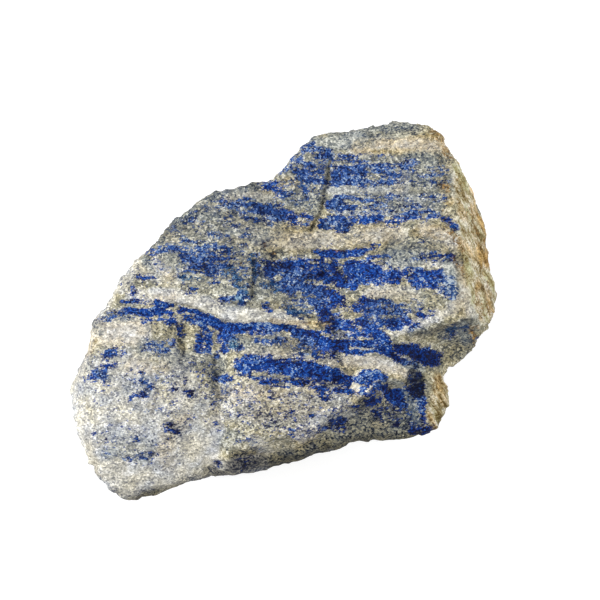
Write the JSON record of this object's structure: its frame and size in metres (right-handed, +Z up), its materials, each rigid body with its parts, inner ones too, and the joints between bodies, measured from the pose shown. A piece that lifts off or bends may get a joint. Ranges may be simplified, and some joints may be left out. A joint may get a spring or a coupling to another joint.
{
  "type": "rough lapis lazuli stone",
  "caption": "Rough broken piece of lapis lazuli, banded blue and cream with a rusty rind, resting on a small flat spot.",
  "frame": {"origin": "on the flat spot the stone rests on, straight below the middle of its broad broken face", "axes": "+Z up from the table, +X to the right along the longest side, the broad face leans towards -Y"},
  "size_m": [0.1286, 0.1065, 0.0767],
  "materials": {
    "lapis": "rough broken stone, matt, with blue lazurite bands, cream calcite and tan rind"
  },
  "bodies": {
    "root": {"stone": "lapis"}
  },
  "joints": []
}
